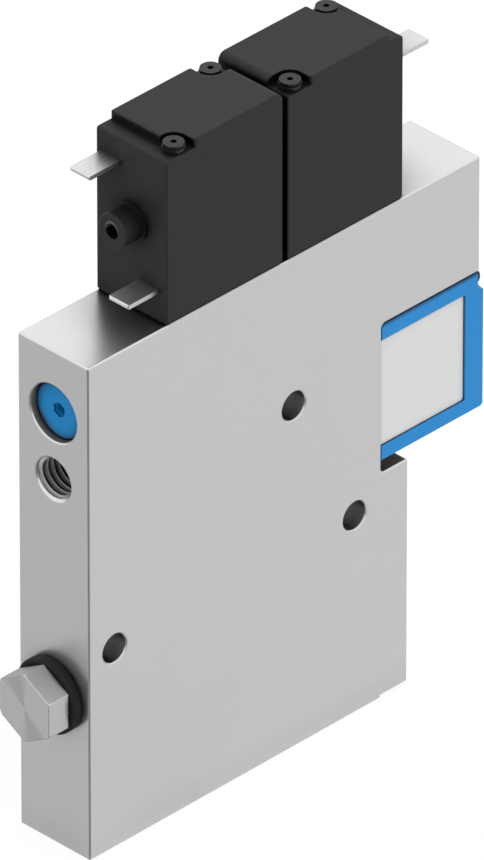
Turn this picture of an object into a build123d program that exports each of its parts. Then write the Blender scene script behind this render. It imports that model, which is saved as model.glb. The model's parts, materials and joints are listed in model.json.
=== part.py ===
from build123d import *
import os

# Compact vacuum ejector: a slim aluminium block that carries two solenoid valves on top, a throttle
# screw, the supply port and a screw plug in its front face, and a filter in a cut-out at its rear.
# Millimetres. X runs from the front face to the rear, Y across the slim block, and Z up.
# The origin is the centre of the face that the block stands on.

os.makedirs("parts", exist_ok=True)

# Clearances
seat_gap = 0.03
running_gap = 0.05
selector_gap = 0.01
over_cut = 1.0

# Housing block
block_width = 10.0
block_length = 56.5
block_height = 59.4
foot_length = 42.25
lower_length = 46.15
heel_step = 0.3
cutout_floor = 27.5
cutout_roof = 45.55
cutout_corner = 0.5
heel_corner = 0.3
edge_break = 0.15
hexagon_turn = 30

# Mounting holes through the block: distance behind the front face, and height
mount_hole_diameter = 3.3
mount_hole_chamfer = 0.15
top_hole_back = 29.5
top_hole_height = 41.5
rear_hole_back = 38.4
rear_hole_height = 24.1
front_hole_back = 3.68
front_hole_height = 24.17

# Supply port, below the throttle bore
throttle_port_wall = 2.0
port_core_diameter = 4.2
port_mouth_diameter = 5.2
supply_port_depth = 6.5

# Throttle bore and screw
throttle_height = 51.9
throttle_bore_diameter = 6.6
throttle_bore_depth = 9.0
throttle_mouth_chamfer = 0.15
throttle_recess = 0.9
throttle_socket_flats = 1.5
throttle_socket_depth = 1.6
throttle_face_round = 0.25
throttle_seat_diameter = 1.6
throttle_seat_end = 13.6
throttle_shank_length = 3.4
throttle_land_length = 0.7
throttle_stem_diameter = 2.4
throttle_chamber_length = 2.0
needle_back = 0.8
needle_reach = 1.4
needle_tip_diameter = 0.4

# Nozzle bore, its plug, nozzles and silencer
nozzle_height = 18.3
nozzle_bore_diameter = 6.0
plug_thread_diameter = 6.6
plug_thread_depth = 6.5
plug_flats = 7.0
plug_head_thickness = 2.8
plug_face_diameter = 7.75
plug_head_chamfer_depth = 0.14
plug_shank_chamfer = 0.48
plug_seal_diameter = 8.5
plug_seal_thickness = 1.5
plug_seal_round = 0.45
jet_start = 18.6
jet_length = 5.8
jet_tip_length = 1.6
jet_tip_diameter = 2.6
jet_end_diameter = 1.73
jet_throat_diameter = 0.5
jet_outlet_diameter = 0.75
jet_inlet_diameter = 3.0
receiver_start = 27.0
receiver_length = 12.6
receiver_mouth_length = 2.1
receiver_throat_length = 4.2
receiver_mouth_diameter = 2.6
receiver_throat_diameter = 1.0
receiver_outlet_diameter = 2.2
silencer_length = 5.2
retainer_thickness = 1.1
retainer_hole_diameter = 0.9
retainer_hole_circle = 3.4
ring_wire = 0.94
ring_groove_width = 1.1

# Drilled galleries
gallery_diameter = 1.4
supply_gallery_diameter = 2.0
supply_gallery_side = 1.0
rear_supply_gallery_diameter = 1.6
rear_supply_gallery_height = 48.0
side_port_offset = 2.6
side_port_back = 3.0
side_port_diameter = 1.2
relief_back = 13.0
relief_side = 1.2
vacuum_gallery_diameter = 2.4
suction_back = 25.7
suction_diameter = 2.2

# Filter in the cut-out
filter_frame_bottom = 29.0
filter_frame_top_gap = 0.1
filter_frame_end = 57.15
filter_notch_end = 56.4
filter_notch_bottom = 43.9
filter_notch_slope = 0.85
filter_frame_corner = 0.45
window_bottom = 30.72
window_top = 43.5
window_end = 54.47
window_corner = 0.3
frame_side_gap = 0.04
bowl_recess = 0.25
bowl_wall = 1.2
bowl_end_wall = 1.4
filter_seal_thickness = 0.8
filter_seal_margin = 0.6
element_diameter = 6.6
element_bore_diameter = 2.8
element_end_wall = 1.2
port_insert_length = 6.2
port_insert_diameter = 6.4
port_insert_groove = 0.25
lock_pin_diameter = 1.7
lock_pin_back = 56.2
lock_pin_height = 44.6
lock_pin_cheek = 0.25

# Valves on top of the block
valve_start = 11.25
valve_gap = 0.7
valve_length = 16.63
valve_width = 10.0
valve_height = 20.4
plain_end_round = 0.95
ledge_length = 2.1
ledge_drop = 0.95
ledge_round = 0.35
ledge_inner_round = 0.3
top_edge_round = 0.2
gasket_thickness = 0.3
gasket_margin = 0.15
valve_cavity_length = 8.9
valve_cavity_width = 7.9
valve_roof_gap = 0.2

# Terminals and the boss between them
terminal_width = 2.8
terminal_thickness = 0.5
terminal_reach = 4.4
terminal_embed = 1.1
terminal_tip_chamfer = 0.12
upper_terminal_height = 16.6
upper_terminal_side = 2.95
lower_terminal_height = 3.7
lower_terminal_side = 2.5
boss_height = 10.35
boss_diameter = 3.9
boss_length = 2.8
boss_root_diameter = 4.6
boss_root_length = 0.35
boss_hole_diameter = 1.7
boss_hole_depth = 5.0

# Valve screws
screw_terminal_inset = 2.4
screw_plain_inset = 1.7
screw_side = 3.6
screw_pocket_radius = 1.62
screw_pocket_mouth_round = 0.4
screw_head_diameter = 2.45
screw_cap_diameter = 2.26
screw_neck_diameter = 2.0
screw_head_height = 0.5
screw_neck_height = 0.1
screw_cap_height = 0.27
screw_socket_diameter = 0.65
screw_socket_depth = 0.6
screw_shank_diameter = 1.6
screw_thread_depth = 4.4

# Inside each valve
base_height = 3.9
inlet_diameter = 1.4
orifice_diameter = 0.8
seat_rim_diameter = 1.5
seat_depth = 1.4
chamber_depth = 2.2
chamber_diameter = 4.4
pole_plate_thickness = 0.8
bobbin_length = 12.0
bobbin_flange_thickness = 0.6
bobbin_flange_diameter = 7.0
bobbin_hub_diameter = 4.0
winding_diameter = 6.7
armature_diameter = 3.0
armature_bottom_rise = 0.5
armature_air_gap = 0.35
armature_pocket_diameter = 2.3
armature_pocket_depth = 2.5
armature_seal_diameter = 1.9
armature_seal_depth = 0.9
core_length = 5.6
core_neck_diameter = 2.4
yoke_thickness = 0.8
yoke_width = 6.0
yoke_bend_radius = 0.6
spring_diameter = 2.05
spring_wire = 0.24
spring_turns = 3.5

# Places worked out from the sizes
front = -foot_length / 2
rear_wall = front + foot_length
lower_end = front + lower_length
upper_end = front + block_length
front_face = Plane(origin=(front, 0, 0), x_dir=(0, -1, 0), z_dir=(-1, 0, 0))
rear_face = Plane(origin=(upper_end, 0, 0), x_dir=(0, 1, 0), z_dir=(1, 0, 0))
lower_rear_face = Plane(origin=(lower_end, 0, 0), x_dir=(0, 1, 0), z_dir=(1, 0, 0))
cutout_face = Plane(origin=(rear_wall, 0, 0), x_dir=(0, 1, 0), z_dir=(1, 0, 0))
large_face = Plane.XZ.offset(block_width / 2)
top_face = Plane.XY.offset(block_height)
base_face = Plane(origin=(0, 0, 0), x_dir=(1, 0, 0), z_dir=(0, 0, -1))
throttle_bore_foot = throttle_height - throttle_bore_diameter / 2
supply_height = throttle_bore_foot - throttle_port_wall - port_mouth_diameter / 2
nozzle_axis = Axis((front, 0, nozzle_height), (1, 0, 0))
throttle_axis = Axis((front, 0, throttle_height), (1, 0, 0))
filter_height = (window_bottom + window_top) / 2
filter_axis = Axis((rear_wall, 0, filter_height), (1, 0, 0))
vacuum_valve_x = front + valve_start + valve_length / 2
pulse_valve_x = vacuum_valve_x + valve_length + valve_gap
jet_riser_x = vacuum_valve_x - side_port_back
pulse_riser_x = pulse_valve_x + side_port_back
relief_x = front + relief_back
suction_x = front + suction_back
throttle_bore_end = front + throttle_bore_depth
screw_places = [
    (vacuum_valve_x - valve_length / 2 + screw_terminal_inset, -screw_side),
    (vacuum_valve_x + valve_length / 2 - screw_plain_inset, screw_side),
    (pulse_valve_x - valve_length / 2 + screw_plain_inset, -screw_side),
    (pulse_valve_x + valve_length / 2 - screw_terminal_inset, screw_side),
]
mount_hole_places = [
    (front + top_hole_back, top_hole_height),
    (front + rear_hole_back, rear_hole_height),
    (front + front_hole_back, front_hole_height),
]


def near(value, target):
    """Tell whether a measured size is the one that is looked for."""
    return abs(value - target) < selector_gap


def save(piece, name):
    """Label a finished piece and write its STEP file."""
    piece.part.label = name
    export_step(piece.part, f"parts/{name}.step")


# Housing: the milled outline, then its mounting holes, ports, bores and drilled galleries
with BuildPart() as housing:
    with BuildSketch(Plane.XZ) as side_view:
        with BuildLine():
            Polyline(
                (front, 0),
                (rear_wall, 0),
                (rear_wall, heel_step),
                (lower_end, heel_step),
                (lower_end, cutout_floor),
                (rear_wall, cutout_floor),
                (rear_wall, cutout_roof),
                (upper_end, cutout_roof),
                (upper_end, block_height),
                (front, block_height),
                close=True,
            )
        make_face()
        fillet(
            side_view.vertices().filter_by(lambda v: near(v.X, rear_wall) and v.Y > nozzle_height),
            cutout_corner,
        )
        fillet(side_view.vertices().filter_by(lambda v: near(v.X, lower_end)), heel_corner)
        chamfer(
            side_view.vertices().filter_by(lambda v: near(v.X, front) or near(v.X, upper_end)),
            edge_break,
        )
    extrude(amount=block_width / 2, both=True)
    near_side = housing.faces().sort_by(Axis.Y)[0]
    far_side = housing.faces().sort_by(Axis.Y)[-1]
    chamfer(near_side.edges() + far_side.edges(), edge_break)

    with Locations(large_face):
        with Locations(*mount_hole_places):
            Hole(mount_hole_diameter / 2)
    mount_mouths = housing.edges().filter_by(GeomType.CIRCLE)
    chamfer(
        mount_mouths.filter_by(lambda e: near(e.radius, mount_hole_diameter / 2)),
        mount_hole_chamfer,
    )

    with Locations(front_face):
        with Locations((0, throttle_height)):
            Hole(throttle_bore_diameter / 2, depth=throttle_bore_depth)
            Hole(throttle_seat_diameter / 2, depth=throttle_seat_end)
        with Locations((0, supply_height)):
            Hole(port_core_diameter / 2, depth=supply_port_depth)
        with Locations((supply_gallery_side, supply_height)):
            Hole(supply_gallery_diameter / 2, depth=vacuum_valve_x - front)
        with Locations((0, nozzle_height)):
            Hole(plug_thread_diameter / 2, depth=plug_thread_depth)
    front_mouths = housing.edges().filter_by(GeomType.CIRCLE).group_by(Axis.X)[0]
    chamfer(
        front_mouths.filter_by(lambda e: near(e.radius, port_core_diameter / 2)),
        (port_mouth_diameter - port_core_diameter) / 2,
    )
    chamfer(
        front_mouths.filter_by(lambda e: near(e.radius, throttle_bore_diameter / 2)),
        throttle_mouth_chamfer,
    )

    with Locations(lower_rear_face):
        with Locations((0, nozzle_height)):
            Hole(nozzle_bore_diameter / 2, depth=lower_length - plug_thread_depth / 2)
    with Locations(rear_face):
        with Locations((0, rear_supply_gallery_height)):
            Hole(rear_supply_gallery_diameter / 2, depth=upper_end - vacuum_valve_x)
        with Locations((-side_port_offset, throttle_height)):
            Hole(gallery_diameter / 2, depth=upper_end - throttle_bore_end + selector_gap)
    with Locations(cutout_face):
        with Locations((0, filter_height)):
            Cylinder(
                vacuum_gallery_diameter / 2,
                rear_wall - relief_x,
                align=(Align.CENTER, Align.CENTER, Align.MAX),
                mode=Mode.SUBTRACT,
            )
    with Locations(top_face):
        with Locations((vacuum_valve_x, 0)):
            Hole(inlet_diameter / 2, depth=block_height - supply_height)
        with Locations((pulse_valve_x, 0)):
            Hole(inlet_diameter / 2, depth=block_height - rear_supply_gallery_height)
        with Locations((jet_riser_x, side_port_offset)):
            Hole(side_port_diameter / 2, depth=block_height - nozzle_height)
        with Locations((pulse_riser_x, -side_port_offset)):
            Hole(side_port_diameter / 2, depth=block_height - throttle_height)
        with Locations((relief_x, relief_side)):
            Hole(gallery_diameter / 2, depth=block_height - filter_height)
        with Locations(*screw_places):
            Hole(screw_shank_diameter / 2 + seat_gap, depth=screw_thread_depth + seat_gap)
    with Locations(base_face):
        with Locations((suction_x, 0)):
            Hole(suction_diameter / 2, depth=filter_height)
save(housing, "housing")


# Balls that close the drilled galleries
with BuildPart() as gallery_balls:
    with Locations((suction_x, 0, suction_diameter / 2 + seat_gap)):
        Sphere(suction_diameter / 2 - seat_gap / 2)
    with Locations((relief_x, relief_side, block_height - gallery_diameter / 2 - seat_gap)):
        Sphere(gallery_diameter / 2 - seat_gap / 2)
    with Locations((upper_end - rear_supply_gallery_diameter / 2 - seat_gap, 0, rear_supply_gallery_height)):
        Sphere(rear_supply_gallery_diameter / 2 - seat_gap / 2)
    with Locations((upper_end - gallery_diameter / 2 - seat_gap, -side_port_offset, throttle_height)):
        Sphere(gallery_diameter / 2 - seat_gap / 2)
save(gallery_balls, "gallery_balls")


# Screw plug: a hexagon head with a turned chamfer, and a shank that closes the nozzle bore
head_start = -plug_seal_thickness - plug_head_thickness
plug_corner_radius = plug_flats / 3**0.5
with BuildPart() as screw_plug:
    with BuildSketch(Plane.YZ.offset(front + head_start)):
        with Locations((0, nozzle_height)):
            RegularPolygon(plug_flats / 2, 6, major_radius=False, rotation=hexagon_turn)
    extrude(amount=plug_head_thickness)
    with BuildSketch(Plane.XZ):
        with BuildLine():
            Polyline(
                (front + head_start, nozzle_height),
                (front + head_start, nozzle_height + plug_face_diameter / 2),
                (front + head_start + plug_head_chamfer_depth, nozzle_height + plug_corner_radius),
                (front - plug_seal_thickness, nozzle_height + plug_corner_radius),
                (front - plug_seal_thickness, nozzle_height),
                close=True,
            )
        make_face()
    revolve(axis=nozzle_axis, mode=Mode.INTERSECT)
    with BuildSketch(Plane.YZ.offset(front - plug_seal_thickness)):
        with Locations((0, nozzle_height)):
            Circle(plug_thread_diameter / 2 - seat_gap)
    extrude(amount=plug_seal_thickness + plug_thread_depth - seat_gap)
    shank_end = screw_plug.faces().sort_by(Axis.X)[-1]
    chamfer(shank_end.edges(), plug_shank_chamfer)
save(screw_plug, "screw_plug")


# Sealing ring behind the plug head
with BuildPart() as plug_seal:
    with BuildSketch(Plane.YZ.offset(front - plug_seal_thickness + seat_gap)):
        with Locations((0, nozzle_height)):
            Circle(plug_seal_diameter / 2)
            Circle(plug_thread_diameter / 2, mode=Mode.SUBTRACT)
    extrude(amount=plug_seal_thickness - 2 * seat_gap)
    rim = plug_seal.edges().filter_by(GeomType.CIRCLE)
    fillet(rim.filter_by(lambda e: near(e.radius, plug_seal_diameter / 2)), plug_seal_round)
save(plug_seal, "plug_seal")


def ring_radius(bore_diameter, gap):
    """Middle radius of an O-ring that fills its groove out to the bore."""
    return bore_diameter / 2 - gap - ring_wire / 2


def make_ring(name, x, height, bore_diameter, gap):
    """O-ring with its axis along X."""
    ring_plane = Plane(origin=(x, 0, height), x_dir=(0, 1, 0), z_dir=(1, 0, 0))
    with BuildPart() as ring:
        with Locations(ring_plane):
            Torus(ring_radius(bore_diameter, gap), ring_wire / 2)
    save(ring, name)


# Jet nozzle: turned, with an inlet cone, a fine throat, an O-ring groove and a slim tip
nozzle_radius = nozzle_bore_diameter / 2 - seat_gap
groove_radius = ring_radius(nozzle_bore_diameter, seat_gap) - ring_wire / 2 - seat_gap
jet_x = front + jet_start
jet_end = jet_x + jet_length
jet_groove = jet_x + ring_groove_width
with BuildPart() as jet_nozzle:
    with BuildSketch(Plane.XZ):
        with BuildLine():
            Polyline(
                (jet_x, nozzle_height + jet_inlet_diameter / 2),
                (jet_x, nozzle_height + nozzle_radius),
                (jet_groove, nozzle_height + nozzle_radius),
                (jet_groove, nozzle_height + groove_radius),
                (jet_groove + ring_groove_width, nozzle_height + groove_radius),
                (jet_groove + ring_groove_width, nozzle_height + nozzle_radius),
                (jet_end - jet_tip_length, nozzle_height + nozzle_radius),
                (jet_end - jet_tip_length, nozzle_height + jet_tip_diameter / 2),
                (jet_end, nozzle_height + jet_end_diameter / 2),
                (jet_end, nozzle_height + jet_outlet_diameter / 2),
                (jet_end - jet_tip_length, nozzle_height + jet_throat_diameter / 2),
                close=True,
            )
        make_face()
    revolve(axis=nozzle_axis)
save(jet_nozzle, "jet_nozzle")
make_ring(
    "jet_seal",
    jet_groove + ring_groove_width / 2,
    nozzle_height,
    nozzle_bore_diameter,
    seat_gap,
)


# Receiver nozzle: a mouth that gathers the jet, a mixing throat and a widening outlet
receiver_x = front + receiver_start
receiver_end = receiver_x + receiver_length
receiver_mouth_end = receiver_x + receiver_mouth_length
receiver_throat_end = receiver_mouth_end + receiver_throat_length
receiver_groove = receiver_x + ring_groove_width
with BuildPart() as receiver_nozzle:
    with BuildSketch(Plane.XZ):
        with BuildLine():
            Polyline(
                (receiver_x, nozzle_height + receiver_mouth_diameter / 2),
                (receiver_x, nozzle_height + nozzle_radius),
                (receiver_groove, nozzle_height + nozzle_radius),
                (receiver_groove, nozzle_height + groove_radius),
                (receiver_groove + ring_groove_width, nozzle_height + groove_radius),
                (receiver_groove + ring_groove_width, nozzle_height + nozzle_radius),
                (receiver_end, nozzle_height + nozzle_radius),
                (receiver_end, nozzle_height + receiver_outlet_diameter / 2),
                (receiver_throat_end, nozzle_height + receiver_throat_diameter / 2),
                (receiver_mouth_end, nozzle_height + receiver_throat_diameter / 2),
                close=True,
            )
        make_face()
    revolve(axis=nozzle_axis)
save(receiver_nozzle, "receiver_nozzle")
make_ring(
    "receiver_seal",
    receiver_groove + ring_groove_width / 2,
    nozzle_height,
    nozzle_bore_diameter,
    seat_gap,
)


# Silencer: a porous plug, and the perforated retainer that holds it in the bore
retainer_x = lower_end - retainer_thickness - seat_gap
silencer_x = retainer_x - silencer_length - seat_gap
with BuildPart() as silencer:
    with BuildSketch(Plane.YZ.offset(silencer_x)):
        with Locations((0, nozzle_height)):
            Circle(nozzle_radius)
    extrude(amount=silencer_length)
    with Locations(Plane(origin=(silencer_x, 0, nozzle_height), x_dir=(0, 1, 0), z_dir=(-1, 0, 0))):
        Hole(receiver_outlet_diameter / 2, depth=silencer_length / 2)
save(silencer, "silencer")

with BuildPart() as silencer_retainer:
    with BuildSketch(Plane.YZ.offset(retainer_x)):
        with Locations((0, nozzle_height)):
            Circle(nozzle_radius)
            Circle(retainer_hole_diameter / 2, mode=Mode.SUBTRACT)
            with PolarLocations(retainer_hole_circle / 2, 6):
                Circle(retainer_hole_diameter / 2, mode=Mode.SUBTRACT)
    extrude(amount=retainer_thickness)
save(silencer_retainer, "silencer_retainer")


# Throttle screw: a socket face, a threaded shank, an O-ring groove, and a needle on a stem
screw_radius = throttle_bore_diameter / 2 - running_gap
throttle_groove_radius = ring_radius(throttle_bore_diameter, seat_gap) - ring_wire / 2 - seat_gap
throttle_face_x = front + throttle_recess
throttle_groove_x = throttle_face_x + throttle_shank_length
throttle_land_x = throttle_groove_x + ring_groove_width
throttle_stem_x = throttle_bore_end - throttle_chamber_length
needle_x = throttle_bore_end - needle_back
needle_end = throttle_bore_end + needle_reach
with BuildPart() as throttle_screw:
    with BuildSketch(Plane.XZ) as screw_outline:
        with BuildLine():
            Polyline(
                (throttle_face_x, throttle_height),
                (throttle_face_x, throttle_height + screw_radius),
                (throttle_groove_x, throttle_height + screw_radius),
                (throttle_groove_x, throttle_height + throttle_groove_radius),
                (throttle_land_x, throttle_height + throttle_groove_radius),
                (throttle_land_x, throttle_height + screw_radius),
                (throttle_land_x + throttle_land_length, throttle_height + screw_radius),
                (throttle_stem_x, throttle_height + throttle_stem_diameter / 2),
                (needle_x, throttle_height + throttle_stem_diameter / 2),
                (needle_end, throttle_height + needle_tip_diameter / 2),
                (needle_end, throttle_height),
                close=True,
            )
        make_face()
        face_corner = screw_outline.vertices().filter_by(lambda v: near(v.X, throttle_face_x))
        fillet(face_corner.sort_by(Axis.Y)[-1], throttle_face_round)
    revolve(axis=throttle_axis)
    with BuildSketch(Plane.YZ.offset(throttle_face_x)):
        with Locations((0, throttle_height)):
            RegularPolygon(throttle_socket_flats / 2, 6, major_radius=False, rotation=hexagon_turn)
    extrude(amount=throttle_socket_depth, mode=Mode.SUBTRACT)
save(throttle_screw, "throttle_screw")
make_ring(
    "throttle_seal",
    throttle_groove_x + ring_groove_width / 2,
    throttle_height,
    throttle_bore_diameter,
    seat_gap,
)


# Filter frame: a moulded clip, open towards the block, that holds the bowl in its window
frame_top = cutout_roof - filter_frame_top_gap
frame_start = rear_wall + seat_gap
frame_end = front + filter_frame_end
notch_end = front + filter_notch_end
frame_half = block_width / 2 - frame_side_gap
window_end_x = front + window_end
pin_x = front + lock_pin_back
with BuildPart() as filter_frame:
    with BuildSketch(Plane.XZ) as frame_view:
        with BuildLine():
            Polyline(
                (frame_start, filter_frame_bottom),
                (frame_end, filter_frame_bottom),
                (frame_end, filter_notch_bottom - filter_notch_slope),
                (notch_end, filter_notch_bottom),
                (notch_end, frame_top),
                (frame_start, frame_top),
                (frame_start, window_top),
                (window_end_x, window_top),
                (window_end_x, window_bottom),
                (frame_start, window_bottom),
                close=True,
            )
        make_face()
        fillet(
            frame_view.vertices().sort_by(Axis.X).filter_by(
                lambda v: near(v.X, frame_end) and near(v.Y, filter_frame_bottom)
            ),
            filter_frame_corner,
        )
        fillet(
            frame_view.vertices().filter_by(lambda v: near(v.X, frame_start) and near(v.Y, frame_top)),
            cutout_corner,
        )
        fillet(
            frame_view.vertices().filter_by(lambda v: near(v.X, window_end_x)),
            window_corner,
        )
    extrude(amount=frame_half, both=True)
    outline = filter_frame.faces().sort_by(Axis.Y)[0].outer_wire().edges()
    outline += filter_frame.faces().sort_by(Axis.Y)[-1].outer_wire().edges()
    chamfer(outline.filter_by(lambda e: e.center().X > frame_start + selector_gap), edge_break / 2)
    with BuildSketch(Plane.XZ):
        with Locations((pin_x, lock_pin_height)):
            Circle(lock_pin_diameter / 2 + seat_gap)
    extrude(amount=frame_half - lock_pin_cheek, both=True, mode=Mode.SUBTRACT)
    with BuildSketch(Plane.YZ.offset(window_end_x - selector_gap)):
        with Locations((0, filter_height)):
            Circle(port_insert_diameter / 2 + seat_gap)
    extrude(amount=frame_end - window_end_x + over_cut, mode=Mode.SUBTRACT)
save(filter_frame, "filter_frame")

with BuildPart() as filter_lock_pin:
    with BuildSketch(Plane.XZ):
        with Locations((pin_x, lock_pin_height)):
            Circle(lock_pin_diameter / 2)
    extrude(amount=frame_half - lock_pin_cheek - seat_gap, both=True)
    chamfer(filter_lock_pin.edges().filter_by(GeomType.CIRCLE), edge_break)
save(filter_lock_pin, "filter_lock_pin")


# Filter bowl: a pale moulded box that is open towards the block
bowl_half = frame_half - bowl_recess
bowl_end = window_end_x - seat_gap
bowl_bottom = window_bottom + seat_gap
bowl_top = window_top - seat_gap
bowl_middle = (bowl_bottom + bowl_top) / 2
bowl_height = bowl_top - bowl_bottom
port_insert_x = frame_end - port_insert_length
with BuildPart() as filter_bowl:
    with BuildSketch(Plane.XZ) as bowl_view:
        with Locations(((frame_start + bowl_end) / 2, bowl_middle)):
            Rectangle(bowl_end - frame_start, bowl_height)
        fillet(bowl_view.vertices().filter_by(lambda v: near(v.X, bowl_end)), window_corner)
    extrude(amount=bowl_half, both=True)
    with BuildSketch(Plane.YZ.offset(frame_start)):
        with Locations((0, bowl_middle)):
            Rectangle(2 * (bowl_half - bowl_wall), bowl_height - 2 * bowl_wall)
    extrude(amount=bowl_end - frame_start - bowl_end_wall, mode=Mode.SUBTRACT)
    with BuildSketch(Plane.YZ.offset(frame_start)):
        with Locations((0, bowl_middle)):
            Rectangle(2 * (bowl_half - filter_seal_margin), bowl_height - 2 * filter_seal_margin)
    extrude(amount=filter_seal_thickness, mode=Mode.SUBTRACT)
    with BuildSketch(Plane.YZ.offset(bowl_end - bowl_end_wall - selector_gap)):
        with Locations((0, filter_height)):
            Circle(port_insert_diameter / 2 + seat_gap)
    extrude(amount=bowl_end_wall + over_cut, mode=Mode.SUBTRACT)
save(filter_bowl, "filter_bowl")

with BuildPart() as filter_seal:
    with BuildSketch(Plane.YZ.offset(frame_start)):
        with Locations((0, bowl_middle)):
            Rectangle(
                2 * (bowl_half - filter_seal_margin - seat_gap),
                bowl_height - 2 * (filter_seal_margin + seat_gap),
            )
        with Locations((0, filter_height)):
            Circle(vacuum_gallery_diameter / 2, mode=Mode.SUBTRACT)
    extrude(amount=filter_seal_thickness - seat_gap)
save(filter_seal, "filter_seal")


# Filter element: a porous tube, closed at the end that faces the vacuum port
element_x = frame_start + filter_seal_thickness
element_end = port_insert_x - seat_gap
with BuildPart() as filter_element:
    with BuildSketch(Plane.XZ):
        with BuildLine():
            Polyline(
                (element_x, filter_height + element_bore_diameter / 2),
                (element_x, filter_height + element_diameter / 2),
                (element_end, filter_height + element_diameter / 2),
                (element_end, filter_height),
                (element_end - element_end_wall, filter_height),
                (element_end - element_end_wall, filter_height + element_bore_diameter / 2),
                close=True,
            )
        make_face()
    revolve(axis=filter_axis)
save(filter_element, "filter_element")


# Threaded insert of the vacuum port, grooved where it grips the plastic
insert_radius = port_insert_diameter / 2
mouth_radius = port_mouth_diameter / 2
mouth_depth = (port_mouth_diameter - port_core_diameter) / 2
with BuildPart() as vacuum_port_insert:
    with BuildSketch(Plane.YZ.offset(port_insert_x)):
        with Locations((0, filter_height)):
            Circle(insert_radius)
            Circle(port_core_diameter / 2, mode=Mode.SUBTRACT)
    extrude(amount=port_insert_length)
    mouth = vacuum_port_insert.edges().filter_by(GeomType.CIRCLE).group_by(Axis.X)[-1]
    chamfer(mouth.filter_by(lambda e: near(e.radius, port_core_diameter / 2)), mouth_depth)
    with BuildSketch(Plane.YZ.offset(window_end_x - port_insert_groove)):
        with Locations((0, filter_height)):
            Circle(insert_radius)
            Circle(insert_radius - port_insert_groove, mode=Mode.SUBTRACT)
    extrude(amount=2 * port_insert_groove, mode=Mode.SUBTRACT)
save(vacuum_port_insert, "vacuum_port_insert")


# Valve screws: pan heads with a stepped cap, in one group
screw_top = block_height + valve_height - ledge_drop
screw_length = valve_height - ledge_drop + screw_thread_depth
upright = (Align.CENTER, Align.CENTER, Align.MIN)
with BuildPart() as valve_screws:
    with Locations(Plane.XY.offset(screw_top)):
        with Locations(*screw_places):
            Cylinder(screw_head_diameter / 2, screw_head_height, align=upright)
            Cylinder(
                screw_neck_diameter / 2,
                screw_head_height + screw_neck_height,
                align=upright,
            )
            Cylinder(screw_shank_diameter / 2, screw_length, align=(Align.CENTER, Align.CENTER, Align.MAX))
    with Locations(Plane.XY.offset(screw_top + screw_head_height + screw_neck_height)):
        with Locations(*screw_places):
            Cylinder(screw_cap_diameter / 2, screw_cap_height, align=upright)
    with Locations(Plane.XY.offset(screw_top + screw_head_height + screw_neck_height + screw_cap_height)):
        with Locations(*screw_places):
            Hole(screw_socket_diameter / 2, depth=screw_socket_depth)
save(valve_screws, "valve_screws")


# Heights inside a valve, counted from the top of the block
base_bottom = gasket_thickness + seat_gap
base_top = base_bottom + base_height
chamber_floor = base_top - chamber_depth
seat_rim = base_top - seat_depth
plate_bottom = base_top + seat_gap
plate_top = plate_bottom + pole_plate_thickness
bobbin_bottom = plate_top + seat_gap
bobbin_top = bobbin_bottom + bobbin_length
yoke_inside_top = bobbin_top + seat_gap
yoke_top = yoke_inside_top + yoke_thickness
cavity_top = yoke_top + valve_roof_gap
core_bottom = yoke_inside_top - core_length
armature_bottom = seat_rim + armature_bottom_rise
armature_top = core_bottom - armature_air_gap
pocket_floor = armature_top - armature_pocket_depth
bobbin_bore_radius = armature_diameter / 2 + running_gap
yoke_half = valve_cavity_length / 2 - seat_gap
case_foot = block_height + gasket_thickness
side_port = (-side_port_back, side_port_offset)
inset_screw = (-valve_length / 2 + screw_terminal_inset, -screw_side)
plain_screw = (valve_length / 2 - screw_plain_inset, screw_side)
pocket_mouths = [
    (inset_screw[0] + screw_pocket_radius, -valve_width / 2),
    (plain_screw[0] - screw_pocket_radius, valve_width / 2),
]
mouth_rounds = [
    (pocket_mouths[0][0] + screw_pocket_mouth_round, pocket_mouths[0][1] + screw_pocket_mouth_round),
    (pocket_mouths[1][0] - screw_pocket_mouth_round, pocket_mouths[1][1] - screw_pocket_mouth_round),
]


def valve_planes(x, turned):
    """Level, side and end planes of a valve whose terminals point along -X, or +X if it is turned."""
    direction = -1 if turned else 1
    level = Plane(origin=(x, 0, block_height), x_dir=(direction, 0, 0), z_dir=(0, 0, 1))
    side = Plane(origin=level.origin, x_dir=level.x_dir, z_dir=-level.y_dir)
    end = Plane(origin=level.origin, x_dir=level.y_dir, z_dir=level.x_dir)
    return level, side, end


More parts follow.
